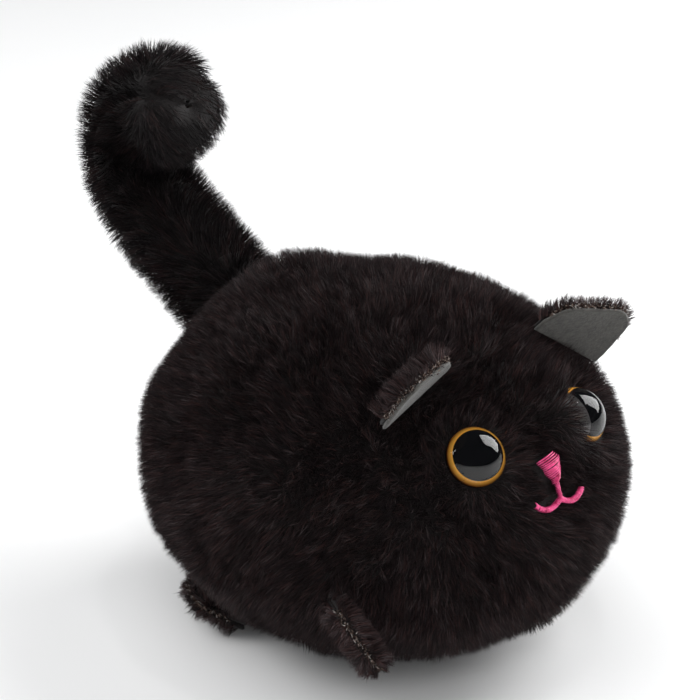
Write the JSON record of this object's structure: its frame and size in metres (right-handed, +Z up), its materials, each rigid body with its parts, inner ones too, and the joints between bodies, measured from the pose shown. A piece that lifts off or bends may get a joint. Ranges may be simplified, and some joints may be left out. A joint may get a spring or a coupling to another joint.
{
  "type": "plush cat",
  "caption": "Round stuffed plush cat with short black pile, domed amber-ringed eyes, felt-lined ears, flat feet and an upright curled tail.",
  "frame": {"origin": "on the surface it stands on, at the middle of the bounding box", "axes": "+Z up; the cat faces -Y and its tail is at +Y; the cat's left side is +X"},
  "size_m": [0.119, 0.1784, 0.1298],
  "materials": {
    "black_plush": "short soft pile, black with a warm brown rim",
    "grey_felt": "matt felt",
    "fibre_fill": "polyester fibre",
    "pink_thread": "satin embroidery thread",
    "clear_lens": "polished clear acrylic",
    "amber_iris": "painted amber",
    "black_pupil": "painted black",
    "black_plastic": "moulded",
    "white_plastic": "moulded"
  },
  "bodies": {
    "body": {"belly_panel": "black_plush", "face_panel": "black_plush", "left_side_panel": "black_plush", "right_side_panel": "black_plush", "body_filling": "fibre_fill", "nose_embroidery": "pink_thread", "mouth_embroidery": "pink_thread", "left_eye_lens": "clear_lens", "left_eye_iris": "amber_iris", "left_eye_pupil": "black_pupil", "left_eye_post": "black_plastic", "left_eye_washer": "white_plastic", "right_eye_lens": "clear_lens", "right_eye_iris": "amber_iris", "right_eye_pupil": "black_pupil", "right_eye_post": "black_plastic", "right_eye_washer": "white_plastic"},
    "tail_root": {"tail_root_cover": "black_plush", "tail_root_filling": "fibre_fill"},
    "tail_middle": {"tail_middle_cover": "black_plush", "tail_middle_filling": "fibre_fill"},
    "tail_tip": {"tail_tip_cover": "black_plush", "tail_tip_filling": "fibre_fill"},
    "left_ear": {"left_ear_plush": "black_plush", "left_ear_felt": "grey_felt"},
    "right_ear": {"right_ear_plush": "black_plush", "right_ear_felt": "grey_felt"},
    "front_left_foot": {"front_left_foot_top": "black_plush", "front_left_foot_sole": "black_plush"},
    "front_right_foot": {"front_right_foot_top": "black_plush", "front_right_foot_sole": "black_plush"},
    "rear_left_foot": {"rear_left_foot_top": "black_plush", "rear_left_foot_sole": "black_plush"},
    "rear_right_foot": {"rear_right_foot_top": "black_plush", "rear_right_foot_sole": "black_plush"}
  },
  "joints": [
    {"name": "tail_lift", "type": "hinge", "parent": "body", "child": "tail_root", "pos_m": [0, 0.03236, 0.0686], "axis": [1, 0, 0], "range_deg": [-12, 20], "stiffness_Nm_per_rad": 0.05},
    {"name": "tail_sway", "type": "hinge", "parent": "tail_root", "child": "tail_middle", "pos_m": [0, 0.0487, 0.07729], "axis": [0, -0.4695, 0.8829], "range_deg": [-25, 25], "stiffness_Nm_per_rad": 0.03},
    {"name": "tail_curl", "type": "hinge", "parent": "tail_middle", "child": "tail_tip", "pos_m": [0, 0.06547, 0.08621], "axis": [1, 0, 0], "range_deg": [-20, 20], "stiffness_Nm_per_rad": 0.03},
    {"name": "right_ear_fold", "type": "hinge", "parent": "body", "child": "right_ear", "pos_m": [-0.02476, -0.06118, 0.08282], "axis": [0.9134, 0.0101, 0.4069], "range_deg": [-25, 35], "stiffness_Nm_per_rad": 0.004},
    {"name": "left_ear_fold", "type": "hinge", "parent": "body", "child": "left_ear", "pos_m": [0.03128, -0.05893, 0.08073], "axis": [0.8105, -0.1593, -0.5637], "range_deg": [-25, 35], "stiffness_Nm_per_rad": 0.004},
    {"name": "front_right_foot_fold", "type": "hinge", "parent": "body", "child": "front_right_foot", "pos_m": [-0.047, -0.06417, 0.02806], "axis": [0.5185, -0.0908, -0.8502], "range_deg": [-15, 25], "stiffness_Nm_per_rad": 0.004},
    {"name": "front_left_foot_fold", "type": "hinge", "parent": "body", "child": "front_left_foot", "pos_m": [0.04023, -0.04079, 0.00705], "axis": [-0.3308, -0.9437, -0.0006], "range_deg": [-10, 18], "stiffness_Nm_per_rad": 0.004},
    {"name": "rear_right_foot_fold", "type": "hinge", "parent": "body", "child": "rear_right_foot", "pos_m": [-0.0326, -0.00124, 0.0038], "axis": [0.5039, 0.8638, 0], "range_deg": [-15, 5], "stiffness_Nm_per_rad": 0.004},
    {"name": "rear_left_foot_fold", "type": "hinge", "parent": "body", "child": "rear_left_foot", "pos_m": [0.0326, -0.00124, 0.0038], "axis": [0.5039, -0.8638, 0], "range_deg": [-15, 5], "stiffness_Nm_per_rad": 0.004}
  ]
}
